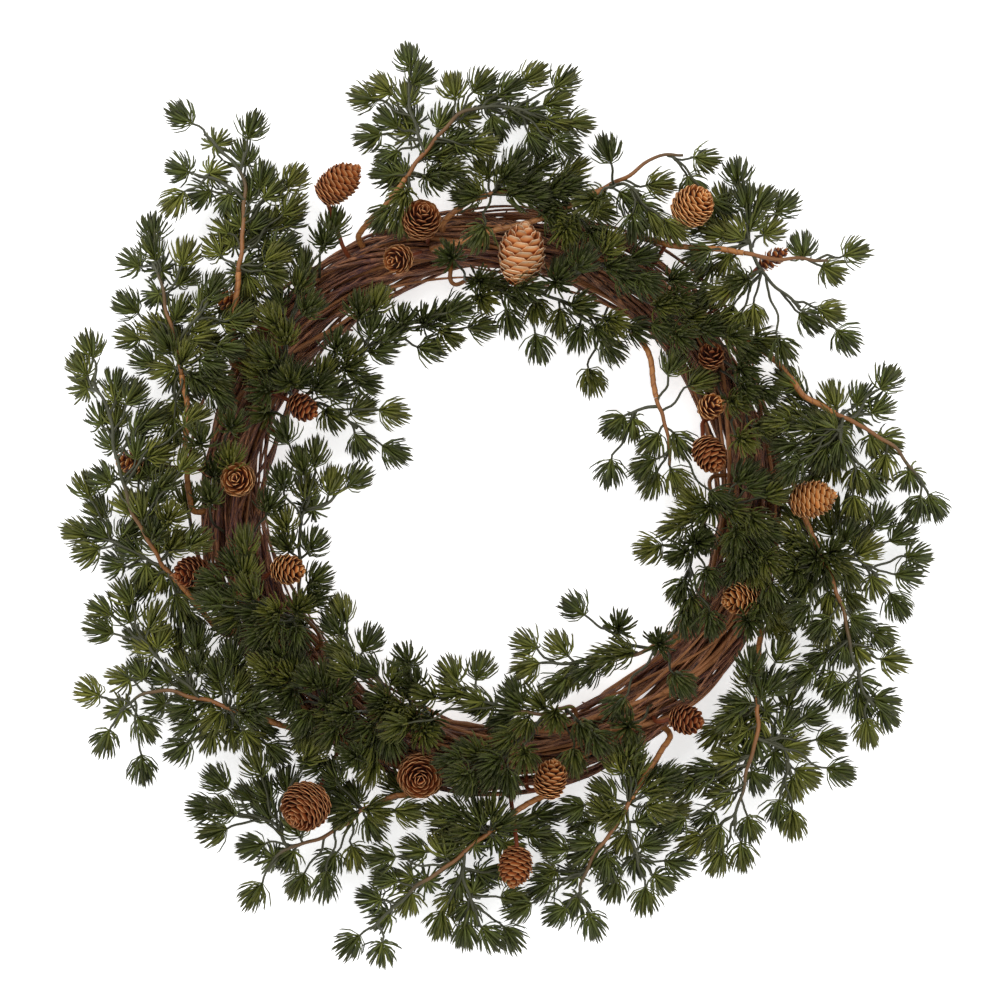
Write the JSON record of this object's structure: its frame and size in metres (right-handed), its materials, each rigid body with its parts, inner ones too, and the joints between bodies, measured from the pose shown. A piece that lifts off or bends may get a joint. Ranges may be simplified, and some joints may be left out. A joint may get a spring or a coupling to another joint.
{
  "type": "evergreen wreath",
  "caption": "Round evergreen wreath: needle sprays and small open cones tucked into a ring of twisted vine canes.",
  "frame": {"origin": "middle of the wreath's outline, on the surface that the vine ring's flat underside lies on", "axes": "+Z out of the wreath's face, +Y towards its top as it hangs, +X to the right seen from the front"},
  "size_m": [0.615, 0.6412, 0.1088],
  "materials": {
    "vine bark": "rough dark red-brown bark",
    "wrapped stem": "matte orange-brown wrapping",
    "needles": "satin grey-green and olive needles",
    "cone scale": "dry matte orange-brown scales",
    "pale cone scale": "dry matte light tan scales"
  },
  "bodies": {
    "root": {"bottom": "needles", "bottom_stem": "wrapped stem", "cone_01": "cone scale", "cone_02": "cone scale", "cone_03": "cone scale", "cone_04": "pale cone scale", "cone_05": "cone scale", "cone_06": "cone scale", "cone_07": "cone scale", "cone_08": "cone scale", "cone_09": "cone scale", "cone_10": "cone scale", "cone_11": "cone scale", "cone_12": "cone scale", "cone_13": "cone scale", "cone_14": "cone scale", "cone_15": "cone scale", "cone_16": "cone scale", "cone_17": "cone scale", "cone_18": "cone scale", "cone_19": "cone scale", "cone_20": "cone scale", "cone_21": "cone scale", "cone_22": "cone scale", "inner_bottom": "needles", "inner_left": "needles", "inner_lower_left": "needles", "inner_lower_right": "needles", "inner_right_lower": "needles", "inner_right_upper": "needles", "inner_right_upper_stem": "wrapped stem", "inner_top": "needles", "inner_upper_left": "needles", "left": "needles", "left_lower": "needles", "left_lower_stem": "wrapped stem", "left_stem": "wrapped stem", "left_upper": "needles", "left_upper_stem": "wrapped stem", "lower_left": "needles", "lower_left_stem": "wrapped stem", "lower_right": "needles", "lower_right_stem": "wrapped stem", "right_bottom": "needles", "right_bottom_stem": "wrapped stem", "right_lower": "needles", "right_lower_stem": "wrapped stem", "right_upper": "needles", "right_upper_stem": "wrapped stem", "top": "needles", "top_face": "needles", "top_face_stem": "wrapped stem", "top_right": "needles", "top_right_stem": "wrapped stem", "top_stem": "wrapped stem", "upper_left": "needles", "upper_left_stem": "wrapped stem", "upper_right": "needles", "upper_right_stem": "wrapped stem", "vine_ring": "vine bark"}
  },
  "joints": []
}
